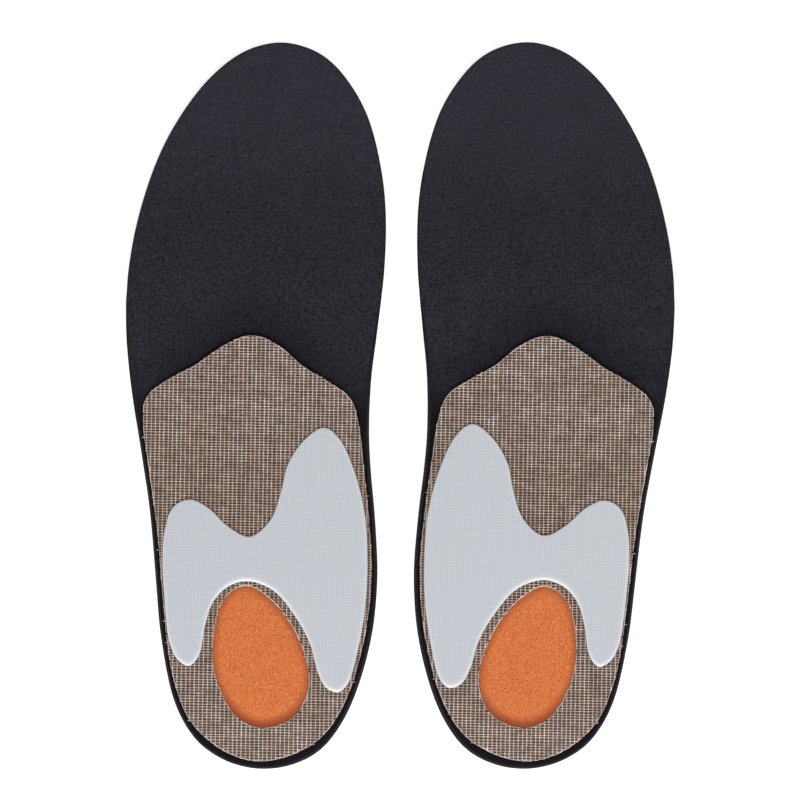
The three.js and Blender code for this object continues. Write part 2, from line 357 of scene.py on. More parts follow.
def even(points, step):
    """Points at about every step along a closed outline."""
    closed = np.vstack([points, points[:1]])
    travelled = np.concatenate([[0], np.cumsum(np.linalg.norm(np.diff(closed, axis=0), axis=1))])
    count = int(round(travelled[-1] / step))
    at = np.linspace(0, travelled[-1], count, endpoint=False)
    return np.stack([np.interp(at, travelled, closed[:, i]) for i in range(2)], axis=1)


def inward_normals(points):
    tangent = np.roll(points, -1, axis=0) - np.roll(points, 1, axis=0)
    tangent /= np.linalg.norm(tangent, axis=1)[:, None]
    return np.stack([-tangent[:, 1], tangent[:, 0]], axis=1)


def inset(points, distance):
    """A closed outline moved in by a distance, or by one for each of its points."""
    return points + inward_normals(points) * np.reshape(distance, (-1, 1))


def stations_round(outline):
    """Points round the insole: the heel's end, the outer side, the toe's end and back down the
    inner side, with each outer station level with an inner one."""
    outline = np.roll(outline, -int(np.argmin(outline[:, 1])), axis=0)
    toe = int(np.argmax(outline[:, 1]))
    low, high = outline[0, 1], outline[toe, 1]
    levels = low + (high - low) * (1 - np.cos(np.linspace(0, math.pi, STATIONS + 1))) / 2
    outer = np.interp(levels, outline[:toe + 1, 1], outline[:toe + 1, 0])
    back = np.vstack([outline[toe:], outline[:1]])[::-1]
    inner = np.interp(levels, back[:, 1], back[:, 0])
    up_side = np.stack([outer, levels], axis=1)
    down_side = np.stack([inner, levels], axis=1)[1:-1][::-1]
    return np.vstack([up_side, down_side])


def inside(points, outline):
    """True for each point inside a closed outline."""
    x, y = points[:, 0][:, None], points[:, 1][:, None]
    x0, y0 = outline[:, 0][None], outline[:, 1][None]
    x1, y1 = np.roll(outline[:, 0], -1)[None], np.roll(outline[:, 1], -1)[None]
    crosses = ((y0 > y) != (y1 > y)) & (x < (x1 - x0) * (y - y0) / (y1 - y0 + TINY) + x0)
    return crosses.sum(axis=1) % 2 == 1


def facing_heel(points, outline):
    """How far the outline's nearest stretch to each point faces the heel, from 0 to 1."""
    nearest = np.linalg.norm(points[:, None, :2] - outline[None], axis=2).argmin(axis=1)
    return np.clip(inward_normals(outline)[nearest, 1], 0, 1)


def distance_to(points, outline):
    """Each point's distance to the nearest point of an outline."""
    gaps = np.linalg.norm(points[:, None] - outline[None], axis=2)
    return gaps.min(axis=1)


# ---- making meshes ----------------------------------------------------------------------------

def make_piece(name, side, shape, finish, smooth=True):
    """A mesh object in the row frame. Its shape is its points as (out, along, up) in millimetres,
    its faces, and attributes with a value for each point."""
    points, faces, attributes = shape
    sign = SIDES[side]
    across = sign * (HALF_PITCH + points[:, 0])
    placed = np.stack([across, points[:, 1] + HEEL_END[side], points[:, 2]], axis=1)
    mesh = bpy.data.meshes.new(f"{side}_{name}")
    ordered = faces if sign > 0 else [tuple(reversed(face)) for face in faces]
    mesh.from_pydata((placed * MM).tolist(), [], ordered)
    place = mesh.attributes.new("place", "FLOAT_VECTOR", "POINT")
    patterned = points + np.array([0, 0, PATTERN_SHIFT[side]])
    place.data.foreach_set("vector", patterned.astype(np.float32).ravel())
    for key, values in attributes.items():
        added = mesh.attributes.new(key, "FLOAT", "POINT")
        added.data.foreach_set("value", np.asarray(values, np.float32))
    mesh.polygons.foreach_set("use_smooth", [smooth] * len(mesh.polygons))
    mesh.materials.append(finish)
    mesh.validate()
    piece = bpy.data.objects.new(f"{side}_{name}", mesh)
    bpy.context.scene.collection.objects.link(piece)
    return piece


def ring_faces(first, second, count):
    """Quads between a ring and the next one out, for points that run counter-clockwise."""
    faces = []
    for i in range(count):
        j = (i + 1) % count
        faces.append((first + i, second + i, second + j, first + j))
    return faces


def cap(points, ring_start, height, faces_up):
    """Fills a ring of stations with rows of points across it, and returns the points and faces."""
    ring = points[ring_start:ring_start + 2 * STATIONS]
    outer, inner = ring[1:STATIONS], ring[:STATIONS:-1]
    shares = np.linspace(0, 1, CAP_COLUMNS + 1)[1:-1]
    rows = outer[:, None, :2] + (inner - outer)[:, None, :2] * shares[None, :, None]
    plan = rows.reshape(-1, 2)
    added = np.column_stack([plan, height(plan)])
    start, wide = len(points), len(shares)
    rows = []
    for i in range(1, STATIONS):
        middle = [start + (i - 1) * wide + k for k in range(wide)]
        rows.append([ring_start + i, *middle, ring_start + 2 * STATIONS - i])
    heel, toe = ring_start, ring_start + STATIONS
    faces = [(heel, a, b) for a, b in zip(rows[0], rows[0][1:])]
    for low, high in zip(rows, rows[1:]):
        faces += [(low[k + 1], low[k], high[k], high[k + 1]) for k in range(len(low) - 1)]
    faces += [(toe, b, a) for a, b in zip(rows[-1], rows[-1][1:])]
    if not faces_up:
        faces = [tuple(reversed(face)) for face in faces]
    return np.vstack([points, added]), faces


def fillet(before, corner, after, radius, steps=3):
    """Points that round a corner of a profile, for every place on the outline at once."""
    back, on = before - corner, after - corner
    back_length = np.linalg.norm(back, axis=1)[:, None]
    on_length = np.linalg.norm(on, axis=1)[:, None]
    back_reach = np.minimum(radius, ROUNDING_SHARE * back_length)
    on_reach = np.minimum(radius, ROUNDING_SHARE * on_length)
    start = corner + back / np.maximum(back_length, TINY) * back_reach
    end = corner + on / np.maximum(on_length, TINY) * on_reach
    shares = np.linspace(0, 1, steps + 1)
    return [(1 - t) ** 2 * start + 2 * t * (1 - t) * corner + t ** 2 * end for t in shares]


def cup_profile(places, share, distance=0.0):
    """(inset, height) on the foot side, from the rim's inner edge at share 0 to the seat at 1,
    or at a distance below that."""
    sine, cosine = math.sin(share * math.pi / 2), math.cos(share * math.pi / 2)
    along = places[:, 1]
    rim_width = between(RIM_WIDTH, TOE_EDGE_WIDTH, along)
    wall_width = between(CUP_WALL_WIDTH, TOE_WALL_WIDTH, along)
    seat_edge = inset(places, rim_width + wall_width)
    rim = rim_height(places)
    wall_height = seat_height(seat_edge[:, 1]) - rim
    normal = np.stack([wall_height * cosine, -wall_width * sine - TOE_EDGE_WIDTH], axis=1)
    normal /= np.linalg.norm(normal, axis=1)[:, None]
    point = np.stack([rim_width + wall_width * (1 - cosine), rim + wall_height * sine], axis=1)
    return point + normal * distance


def rings_to_mesh(places, profile, top_height, bottom_height):
    """A closed solid from rings of (inset, height), which go out over its top and in under it."""
    count = len(places)
    rings = [np.column_stack([inset(places, p[:, 0]), p[:, 1]]) for p in profile]
    points = np.vstack(rings)
    faces = []
    for r in range(len(rings) - 1):
        faces += ring_faces(r * count, (r + 1) * count, count)
    points, upper = cap(points, 0, top_height, True)
    points, lower = cap(points, (len(rings) - 1) * count, bottom_height, False)
    return points, faces + upper + lower


# ---- finishes ---------------------------------------------------------------------------------

# colours as linear red, green and blue; a pattern's colours each have their place along it
FOAM_GRAIN = ((0.3, (0.0095, 0.009, 0.0145)), (0.7, (0.0475, 0.0455, 0.0575)))
FOAM_CLOUDS = ((0.3, (0.9, 0.9, 0.9)), (0.7, (1.08, 1.08, 1.08)))
# painted light: the colour the foam turns towards the toe
FOAM_TOE_LIGHT = (0.045, 0.043, 0.056)
# the dark of the flanks, also used as painted shade round the shell
FOAM_FLANK_AND_SHADE = (0.0065, 0.0055, 0.0075)
COVER_KNIT = ((0.0, (0.005, 0.005, 0.007)), (0.8, (0.036, 0.036, 0.041)))
BOARD_MOTTLING = (
    (0.25, (0.036, 0.022, 0.017)), (0.5, (0.086, 0.044, 0.026)),
    (0.68, (0.15, 0.070, 0.037)), (0.85, (0.36, 0.17, 0.08)),
)
YARN = (
    (0.0, (0.30, 0.18, 0.12)), (0.4, (0.48, 0.34, 0.26)),
    (0.75, (0.60, 0.515, 0.475)), (1.0, (0.98, 0.84, 0.77)),
)
# painted highlight where the threads cross
YARN_CROSSING_HIGHLIGHT = (0.86, 0.785, 0.745)
YARN_STAINS = ((0.3, (0.78, 0.68, 0.58)), (0.62, (1.0, 1.0, 1.0)))
YARN_CLOUDS = ((0.32, (0.84, 0.84, 0.84)), (0.68, (1.14, 1.14, 1.14)))
PLATE_RIBS = ((0.1, (0.52, 0.545, 0.58)), (0.9, (0.678, 0.703, 0.738)))
# painted highlight along the plate's rim
PLATE_RIM_HIGHLIGHT = (0.95, 0.95, 0.95)
PAD_GRAINS = (
    (0.33, (0.53, 0.075, 0.008)), (0.5, (0.715, 0.182, 0.038)), (0.67, (0.88, 0.295, 0.09)),
)
PAD_SPECK = (0.22, 0.06, 0.03)
PAD_SPECK_EDGE = ((0.25, (1, 1, 1)), (0.31, (0, 0, 0)))
# painted shade along the pad's edge
PAD_SHADE_COLOUR = (0.34, 0.055, 0.010)

# the pitches of the plate's ribs, and a band texture's scale times the pitch of its bands
PLATE_RIB_PITCHES = {"X": 0.85, "Y": 0.757}
BAND_SCALE = math.pi / 10


def new_material(name):
    material = bpy.data.materials.new(name)
    material.use_nodes = True
    tree = material.node_tree
    return material, tree, tree.nodes["Principled BSDF"]


def add_node(tree, kind, **values):
    """A node with some of its settings and inputs; an underscore stands for an input's space."""
    made = tree.nodes.new(kind)
    for key, value in values.items():
        if hasattr(made, key):
            setattr(made, key, value)
        else:
            made.inputs[key.replace("_", " ")].default_value = value
    return made


def place_in_mm(tree, scale=(1, 1, 1)):
    """The point's (out, along, up) in millimetres, stretched by a scale."""
    place = tree.nodes.new("ShaderNodeAttribute")
    place.attribute_name = "place"
    mapping = tree.nodes.new("ShaderNodeMapping")
    mapping.inputs["Scale"].default_value = scale
    tree.links.new(place.outputs["Vector"], mapping.inputs["Vector"])
    return mapping.outputs["Vector"]


def noise(tree, vector, size, detail=3.0, roughness=0.6):
    made = add_node(tree, "ShaderNodeTexNoise", Scale=1 / size, Detail=detail, Roughness=roughness)
    tree.links.new(vector, made.inputs["Vector"])
    return made.outputs["Fac"]


def ramp(tree, value, stops):
    """A colour for a value, from colours that each have their place."""
    made = tree.nodes.new("ShaderNodeValToRGB")
    elements = made.color_ramp.elements
    while len(elements) < len(stops):
        elements.new(0.5)
    for element, (place, colour) in zip(elements, stops):
        element.position = place
        element.color = (*colour, 1)
    tree.links.new(value, made.inputs["Fac"])
    return made.outputs["Color"]


def mix(tree, share, first, second, blend="MIX"):
    made = add_node(tree, "ShaderNodeMix", data_type="RGBA", blend_type=blend)
    for socket, value in (("Factor", share), ("A", first), ("B", second)):
        target = next(i for i in made.inputs if i.name == socket and i.enabled)
        if isinstance(value, bpy.types.NodeSocket):
            tree.links.new(value, target)
        elif socket == "Factor":
            target.default_value = value
        else:
            target.default_value = (*value, 1)
    return next(o for o in made.outputs if o.enabled)


def math_node(tree, operation, *values):
    made = add_node(tree, "ShaderNodeMath", operation=operation)
    for i, value in enumerate(values):
        if isinstance(value, bpy.types.NodeSocket):
            tree.links.new(value, made.inputs[i])
        else:
            made.inputs[i].default_value = value
    return made.outputs[0]


def attribute(tree, name):
    made = tree.nodes.new("ShaderNodeAttribute")
    made.attribute_name = name
    return made.outputs["Fac"]


def bump(tree, shader, height, strength, distance_mm):
    made = add_node(tree, "ShaderNodeBump", Strength=strength, Distance=distance_mm * MM)
    tree.links.new(height, made.inputs["Height"])
    tree.links.new(made.outputs["Normal"], shader.inputs["Normal"])


def foam_finish():
    material, tree, shader = new_material("black_foam")
    place = place_in_mm(tree)
    grain = noise(tree, place, size=0.9, detail=2.0, roughness=0.8)
    clouds = noise(tree, place, size=14.0)
    fine = ramp(tree, grain, FOAM_GRAIN)
    shade = ramp(tree, clouds, FOAM_CLOUDS)
    clouded = mix(tree, 1.0, fine, shade, "MULTIPLY")
    # the toe attribute is painted light, which makes the foam paler towards the toe
    paler = mix(tree, attribute(tree, "toe"), clouded, FOAM_TOE_LIGHT)
    # the flank attribute darkens the flanks and adds painted shade round the shell
    cut = mix(tree, attribute(tree, "flank"), paler, FOAM_FLANK_AND_SHADE)
    tree.links.new(cut, shader.inputs["Base Color"])
    shader.inputs["Roughness"].default_value = 0.9
    shader.inputs["Specular IOR Level"].default_value = 0.03
    bump(tree, shader, grain, strength=0.6, distance_mm=0.1)
    return material


def cover_finish():
    material, tree, shader = new_material("black_textile")
    place = place_in_mm(tree)
    rib = add_node(tree, "ShaderNodeTexWave", wave_type="BANDS", bands_direction="X",
                   Scale=0.36, Distortion=0.8, Detail_Scale=3.0)
    course = add_node(tree, "ShaderNodeTexWave", wave_type="BANDS", bands_direction="Y",
                      Scale=0.5, Distortion=0.5)
    tree.links.new(place, rib.inputs["Vector"])
    tree.links.new(place, course.inputs["Vector"])
    knit = math_node(tree, "MULTIPLY", rib.outputs["Fac"], course.outputs["Fac"])
    tree.links.new(ramp(tree, knit, COVER_KNIT), shader.inputs["Base Color"])
    shader.inputs["Roughness"].default_value = 0.9
    shader.inputs["Sheen Weight"].default_value = 0.03
    shader.inputs["Specular IOR Level"].default_value = 0.15
    bump(tree, shader, knit, strength=0.6, distance_mm=0.15)
    return material


def one_value_a_gap(tree):
    """A random value for each gap between the weave's threads."""
    snapped = add_node(tree, "ShaderNodeVectorMath", operation="FLOOR")
    gaps = place_in_mm(tree, (1 / WARP_PITCH, 1 / WEFT_PITCH, 1))
    tree.links.new(gaps, snapped.inputs[0])
    random = add_node(tree, "ShaderNodeTexWhiteNoise", noise_dimensions="2D")
    tree.links.new(snapped.outputs[0], random.inputs["Vector"])
    return random.outputs["Value"]


def board_finish():
    material, tree, shader = new_material("brown_board")
    by_gap = math_node(tree, "MULTIPLY", one_value_a_gap(tree), 0.3)
    mottled = noise(tree, place_in_mm(tree), size=2.4, roughness=0.7)
    both = math_node(tree, "ADD", by_gap, math_node(tree, "MULTIPLY", mottled, 0.75))
    tree.links.new(ramp(tree, both, BOARD_MOTTLING), shader.inputs["Base Color"])
    shader.inputs["Roughness"].default_value = 0.7
    bump(tree, shader, mottled, strength=0.4, distance_mm=0.1)
    return material


def painted_crossing_highlight(tree):
    """The share of painted highlight on the yarn: 1 where a thread crosses another and 0 midway
    between two crossings.
    """
    separate = tree.nodes.new("ShaderNodeSeparateXYZ")
    turns = place_in_mm(tree, (2 * math.pi / WARP_PITCH, 2 * math.pi / WEFT_PITCH, 1))
    tree.links.new(turns, separate.inputs[0])
    waves = [math_node(tree, "COSINE", separate.outputs[i]) for i in range(2)]
    halves = [math_node(tree, "MULTIPLY_ADD", wave, 0.5, 0.5) for wave in waves]
    return math_node(tree, "MULTIPLY", *halves)


def cloth_finish():
    material, tree, shader = new_material("glass_cloth")
    yarn = ramp(tree, attribute(tree, "tint"), YARN)
    # painted highlight where the threads cross
    highlight_share = math_node(tree, "MULTIPLY", painted_crossing_highlight(tree), 0.6)
    highlighted = mix(tree, highlight_share, yarn, YARN_CROSSING_HIGHLIGHT)
    stained = ramp(tree, noise(tree, place_in_mm(tree), size=3.0, roughness=0.7), YARN_STAINS)
    cloudy = ramp(tree, noise(tree, place_in_mm(tree), size=6.0, detail=2.0), YARN_CLOUDS)
    spotted = mix(tree, 0.8, highlighted, stained, "MULTIPLY")
    clouded = mix(tree, 1.0, spotted, cloudy, "MULTIPLY")
    tree.links.new(clouded, shader.inputs["Base Color"])
    shader.inputs["Roughness"].default_value = 0.5
    fibres = noise(tree, place_in_mm(tree, (3, 3, 3)), size=0.3, detail=2.0)
    bump(tree, shader, fibres, strength=0.3, distance_mm=0.04)
    return material


def stabiliser_finish():
    material, tree, shader = new_material("pale_plastic")
    place = place_in_mm(tree)
    ribs = []
    for direction, pitch in PLATE_RIB_PITCHES.items():
        wave = add_node(tree, "ShaderNodeTexWave", wave_type="BANDS", bands_direction=direction,
                        Scale=BAND_SCALE / pitch, Distortion=0.0)
        tree.links.new(place, wave.inputs["Vector"])
        ribs.append(wave.outputs["Fac"])
    grid = math_node(tree, "MULTIPLY", math_node(tree, "ADD", *ribs), 0.5)
    face = ramp(tree, grid, PLATE_RIBS)
    # painted highlight along the plate's rim, from its edge attribute
    painted_edge = mix(tree, attribute(tree, "edge"), face, PLATE_RIM_HIGHLIGHT)
    tree.links.new(painted_edge, shader.inputs["Base Color"])
    shader.inputs["Roughness"].default_value = 0.38
    shader.inputs["Subsurface Weight"].default_value = 0.15
    shader.inputs["Subsurface Radius"].default_value = (0.001, 0.001, 0.001)
    bump(tree, shader, grid, strength=0.25, distance_mm=0.05)
    return material


def pad_finish():
    material, tree, shader = new_material("orange_foam")
    place = place_in_mm(tree)
    grain = noise(tree, place, size=0.6, roughness=0.8)
    colour = ramp(tree, grain, PAD_GRAINS)
    dark = ramp(tree, noise(tree, place, size=0.9, detail=1.0), PAD_SPECK_EDGE)
    speckled = mix(tree, math_node(tree, "MULTIPLY", dark, 0.6), colour, PAD_SPECK)
    # painted shade along the pad's edge, from its edge attribute
    painted_edge = mix(tree, attribute(tree, "edge"), speckled, PAD_SHADE_COLOUR)
    tree.links.new(painted_edge, shader.inputs["Base Color"])
    shader.inputs["Roughness"].default_value = 0.8
    bump(tree, shader, grain, strength=0.5, distance_mm=0.25)
    return material


# ---- the cushion and the cover ----------------------------------------------------------------

CUP_SHARES = np.linspace(0, 1, 13)


def pocketed_underside(plan, hole):
    """The underside's height at points in plan, with the pocket for the pad."""
    wall = 1 - smooth_step(0, POCKET_WALL, distance_to(plan, hole))
    depth = np.where(inside(plan, hole), 1.0, wall)
    return underside_height(plan[:, 1]) - (PAD_DEPTH + GLUE_LINE) * depth


def cushion_mesh(places, hole):
    flank = between(FLANK_INSET, TOE_FLANK_INSET, places[:, 1])
    border = flank + UNDERSIDE_BORDER
    rim = rim_height(places)
    edge = np.stack([flank, underside_height(inset(places, flank)[:, 1])], axis=1)
    within = np.stack([border, underside_height(inset(places, border)[:, 1])], axis=1)
    foot = np.stack([np.zeros_like(rim), rim], axis=1)
    cup = [cup_profile(places, share) for share in CUP_SHARES]
    profile = [within]
    profile += fillet(within, edge, foot, UNDERSIDE_ROUNDING)
    profile += fillet(edge, foot, cup[0], FLANK_ROUNDING)
    profile += fillet(foot, cup[0], cup[2], RIM_ROUNDING)
    profile += cup[2:]
    return rings_to_mesh(
        places, profile,
        lambda plan: pocketed_underside(plan, hole),
        lambda plan: seat_height(plan[:, 1]),
    )


def cover_mesh(places):
    shares = CUP_SHARES * (1 - COVER_START) + COVER_START
    far = GLUE_LINE + COVER_THICKNESS
    upper = [cup_profile(places, share, GLUE_LINE) for share in shares[::-1]]
    lower = [cup_profile(places, share, far) for share in shares]
    edge = fillet(upper[-2], upper[-1], lower[0], COVER_ROUNDING, 2)
    edge += fillet(upper[-1], lower[0], lower[1], COVER_ROUNDING, 2)
    return rings_to_mesh(
        places, upper[:-1] + edge + lower[1:],
        lambda plan: seat_height(plan[:, 1]) - GLUE_LINE,
        lambda plan: seat_height(plan[:, 1]) - far,
    )


def painted_shell_shade(points, shell):
    """How much painted shade darkens the foam round the shell, most of all beside it."""
    gap = distance_to(points[:, :2], shell)
    front = smooth_step(*SHELL_FRONT, points[:, 1])
    fading = smooth_step(SHELL_SHADE_REACH, 2 * SHELL_SHADE_REACH, gap)
    beside = BESIDE_SHADE * (1 - front) * (1 - fading)
    near = NEAR_FRONT_SHADE * front * (1 - smooth_step(0, SHELL_SHADE_REACH, gap))
    far = FAR_FRONT_SHADE * front * (1 - smooth_step(0, FRONT_SHADE_REACH, gap))
    return np.maximum(beside, np.maximum(near, far))


def cushion_shades(points, shell, hole):
    """How dark the cushion's flanks are, with painted shade added round the shell, and how much
    painted light makes its toe end paler, at each of its points.
    """
    fall = underside_height(points[:, 1]) - points[:, 2]
    off_hole = distance_to(points[:, :2], hole) > POCKET_BORDER
    # the flanks are darker where they fall away, and painted shade is added round the shell
    dark = np.maximum(smooth_step(*FLANK_FALL, fall), painted_shell_shade(points, shell))
    # the toe values are painted light that makes the toe end paler
    return {"flank": dark * off_hole, "toe": TOE_LIGHT_SHARE * smooth_step(*TOE_LIGHT_LEVELS, points[:, 1])}


def bend_at_ball(piece):
    """Bakes a full-length piece's placing into its mesh."""
    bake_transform(piece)


def add_cushion(side, shape, finish):
    piece = make_piece("foam_cushion", side, shape, finish)
    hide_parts(f"{side}_cushion_rear", f"{side}_cushion_forefoot")
    bend_at_ball(piece)


def add_cover(side, shape, finish):
    piece = make_piece("top_cover", side, shape, finish)
    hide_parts(f"{side}_top_cover_rear", f"{side}_top_cover_forefoot")
    bend_at_ball(piece)


# ---- the flat layers --------------------------------------------------------------------------

def add_wall(made, outline, sign, edge_profile, inset_layer):
    """The rings of points up one edge of a flat layer, with faces between them. The sign is 1
    round the outside and -1 round a hole."""
    rings = []
    for distance, height in edge_profile:
        ring = [made.verts.new((x, y, height)) for x, y in inset(outline, sign * distance)]
        for vertex in ring:
            vertex[inset_layer] = distance if height > edge_profile[0][1] else 0.0
        rings.append(ring)
    for low, high in zip(rings, rings[1:]):
        for i in range(len(low)):
            j = (i + 1) % len(low)
            quad = (low[i], low[j], high[j], high[i])
            made.faces.new(quad if sign > 0 else quad[::-1])
    return rings


def fill_between(made, rings, normal):
    """Fills the level area between closed rings, with faces that point along the normal."""
    edges = []
    for ring in rings:
        edges += [made.edges.get((ring[i], ring[(i + 1) % len(ring)])) for i in range(len(ring))]
    filled = bmesh.ops.triangle_fill(made, use_beauty=True, edges=edges, normal=(0, 0, normal))
    for face in filled["geom"]:
        if isinstance(face, bmesh.types.BMFace):
            face.normal_update()
            if face.normal.z * normal < 0:
                face.normal_flip()


def cut_in_bands(made):
    """Divides a flat layer across its rear end, so that it can follow the heel's curve."""
    for level in np.linspace(0, HEEL_CURVE_LENGTH, HEEL_BANDS + 1)[1:]:
        bmesh.ops.bisect_plane(made, geom=made.verts[:] + made.edges[:] + made.faces[:],
                               plane_co=(0, level, 0), plane_no=(0, 1, 0))


def layer_mesh(outlines, edge_profile):
    """A flat layer with plan outlines, the outer one first. edge_profile goes up its edge as
    (distance in from the edge, height above the cushion). Returns points, faces and, for each
    point, its distance in from the edge, up to the profile's last."""
    made = bmesh.new()
    inset_layer = made.verts.layers.float.new("inset")
    walls = []
    for number, outline in enumerate(outlines):
        sign = 1 if number == 0 else -1
        walls.append(add_wall(made, outline, sign, edge_profile, inset_layer))
    fill_between(made, [rings[0] for rings in walls], -1)
    fill_between(made, [rings[-1] for rings in walls], 1)
    cut_in_bands(made)
    made.verts.index_update()
    points = np.array([v.co for v in made.verts], float)
    insets = np.clip(np.array([v[inset_layer] for v in made.verts]), 0, edge_profile[-1][0])
    faces = [tuple(v.index for v in face.verts) for face in made.faces]
    made.free()
    points[:, 2] += underside_height(points[:, 1])
    return points, faces, insets


def add_layer(name, side, node, shape, finish, smooth=True):
    piece = make_piece(name, side, shape, finish, smooth)
    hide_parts(f"{side}_{node}")
    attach(piece, f"{side}_insole")
    return piece


def board_shape(shell, hole):
    profile = [(0, BOARD_BOTTOM), (0, BOARD_TOP - BOARD_CHAMFER), (BOARD_CHAMFER, BOARD_TOP)]
    points, faces, _ = layer_mesh([shell, hole], profile)
    return points, faces, {}


def plate_shape(outline):
    """The plate, with a painted highlight along its rim, brightest where it faces the heel."""
    points, faces, insets = layer_mesh([outline], STABILISER_EDGE)
    facing = facing_heel(points, outline)
    # painted highlight along the rim, brightest where it faces the heel
    rim = np.clip(1 - insets / (PLATE_HIGHLIGHT_REACH + facing), 0, 1) ** PLATE_HIGHLIGHT_POWER
    rim *= PLATE_HIGHLIGHT_LEAST + (1 - PLATE_HIGHLIGHT_LEAST) * facing
    return points, faces, {"edge": rim}


def add_plate(side, shape, finish):
    points, faces, attributes = shape
    shifted = points + np.array([0, PLATE_SHIFT[side], 0])
    add_layer("plate", side, "stabiliser", (shifted, faces, attributes), finish)


# ---- the woven cloth --------------------------------------------------------------------------

class Threads:
    """Gathers threads, each a run of flattened four-sided sections, into one mesh."""

    def __init__(self, seed):
        self.random = np.random.default_rng(seed)
        self.points, self.faces, self.tints, self.count = [], [], [], 0

    def add(self, line, width, thickness, tint):
        """Adds a thread along a line of points, with a tint for all of it or for each point."""
        count = len(line)
        if count < 2:
            return
        onward = np.gradient(line, axis=0)
        across = np.stack([-onward[:, 1], onward[:, 0], np.zeros(count)], axis=1)
        across /= np.maximum(np.linalg.norm(across, axis=1), TINY)[:, None]
        upward = np.array([0, 0, 1.0])
        spread = CROSSING_WIDTH_SPREAD * self.random.standard_normal(count)
        widths = width * (1 + spread)[:, None] / 2
        section = [line - across * widths, line - upward * thickness / 2,
                   line + across * widths, line + upward * thickness / 2]
        self.points.append(np.stack(section, axis=1).reshape(-1, 3))
        slubs = SLUB_BRIGHTNESS * (self.random.random(count) < SLUB_SHARE)
        uneven = CROSSING_TINT_SPREAD * self.random.standard_normal(count)
        self.tints.append(np.repeat(np.clip(tint + slubs + uneven, 0, 1), 4))
        base = self.count
        for i in range(count - 1):
            a, b = base + 4 * i, base + 4 * (i + 1)
            for k in range(4):
                n = (k + 1) % 4
                self.faces.append((a + k, a + n, b + n, b + k))
        last = base + 4 * (count - 1)
        self.faces += [(base + 3, base + 2, base + 1, base), (last, last + 1, last + 2, last + 3)]
        self.count += 4 * count

    def shape(self):
        return np.vstack(self.points), self.faces, {"tint": np.concatenate(self.tints)}


def spans(outlines, axis, value):
    """The stretches of the line out = value (axis 0) or along = value (axis 1) inside a cut."""
    hits = []
    for outline in outlines:
        a, b = outline, np.roll(outline, -1, axis=0)
        crossing = (a[:, axis] > value) != (b[:, axis] > value)
        a, b = a[crossing], b[crossing]
        share = (value - a[:, axis]) / (b[:, axis] - a[:, axis])
        hits += list(a[:, 1 - axis] + share * (b[:, 1 - axis] - a[:, 1 - axis]))
    hits.sort()
    return list(zip(hits[::2], hits[1::2]))


def fray(random):
    """How far a thread's end sticks out past the cut."""
    return random.uniform(*FRAY_LENGTH) if random.random() < FRAYED_SHARE else 0.0


def points_along(random, start, end, crossing):
    """Where a thread has points: at its ends, which may be frayed, and at each crossing."""
    steps = np.arange(math.ceil(start / crossing), math.floor(end / crossing) + 1)
    return np.concatenate([[start - fray(random)], steps * crossing, [end + fray(random)]])


def weave(shell, hole):
    """The glass cloth's threads, over and under each other, cut to the shell and its hole."""
    threads = Threads(WEAVE_SEED)
    random = threads.random
    swing = (CLOTH_THICKNESS - THREAD_THICKNESS) / 2
    cut = [shell, inset(hole, -HOLE_CLEARANCE)]
    kinds = (
        (0, WARP_PITCH, WEFT_PITCH, WARP_WIDTH, WARP_TINT, 1),
        (1, WEFT_PITCH, WARP_PITCH, WEFT_WIDTH, WEFT_TINT, -1),
    )
    for axis, pitch, crossing, width, tint, first in kinds:
        low, high = shell[:, axis].min(), shell[:, axis].max()
        for number in range(math.ceil(low / pitch), math.floor(high / pitch) + 1):
            shift = THREAD_SHIFT * random.standard_normal()
            own_tint = tint + THREAD_TINT_SPREAD * random.standard_normal()
            own_width = width * (1 + THREAD_WIDTH_SPREAD * random.standard_normal())
            for start, end in spans(cut, axis, number * pitch + shift):
                at = points_along(random, start, end, crossing)
                turns = np.round(at / crossing).astype(int)
                side_step = CROSSING_SHIFT * random.standard_normal(len(at)) + shift
                over = np.where((turns + number) % 2 == 0, first, -first) * swing
                line = np.zeros((len(at), 3))
                line[:, axis] = number * pitch + side_step
                line[:, 1 - axis] = at
                line[:, 2] = underside_height(line[:, 1]) + CLOTH_MIDDLE + over
                heel = HEEL_BRIGHTNESS * (1 - smooth_step(*HEEL_LEVELS, line[:, 1]))
                front = FRONT_BRIGHTNESS * smooth_step(*FRONT_LEVELS, line[:, 1])
                threads.add(line, own_width, THREAD_THICKNESS, own_tint + heel + front)
    return threads


def add_cut_edges(threads, shell, hole):
    """The resin-pale cut edges of the cloth, as broken runs of yarn along each outline, with a
    painted highlight where a cut faces the heel.
    """
    random = threads.random
    for outline, sign, (width, distance) in ((shell, 1, SHELL_CUT), (hole, -1, HOLE_CUT)):
        path = even(outline, CUT_STEP)
        faces_heel = np.clip(sign * inward_normals(path)[:, 1], 0, 1)
        plan = inset(path, distance + CUT_SHIFT * random.standard_normal(len(path)))
        line = np.column_stack([plan, underside_height(plan[:, 1]) + CLOTH_MIDDLE])
        at = 0
        while at < len(line):
            run = int(random.integers(*RUN_STEPS))
            part = slice(at, at + run + 1)
            own_width = width * random.uniform(*CUT_WIDTH_SHARE)
            # painted highlight where the cut faces the heel
            tint = random.uniform(*CUT_TINT) + CUT_GLINT * faces_heel[part]
            threads.add(line[part], own_width, CUT_THICKNESS, tint)
            at += run + int(random.integers(*GAP_STEPS))


def cloth_shape(shell, hole):
    threads = weave(shell, hole)
    add_cut_edges(threads, shell, hole)
    return threads.shape()


def add_cloth(side, shape, finish):
    cloth = add_layer("woven_cloth", side, "glass_cloth", shape, finish)


# ---- the heel pad -----------------------------------------------------------------------------

def share_of_heel_end(outline, along, turn):
    """1 at a closed outline's heel end and 0 from a share of its length onwards."""
    low, high = outline[:, 1].min(), outline[:, 1].max()
    return 1 - smooth_step(low, low + turn * (high - low), along)


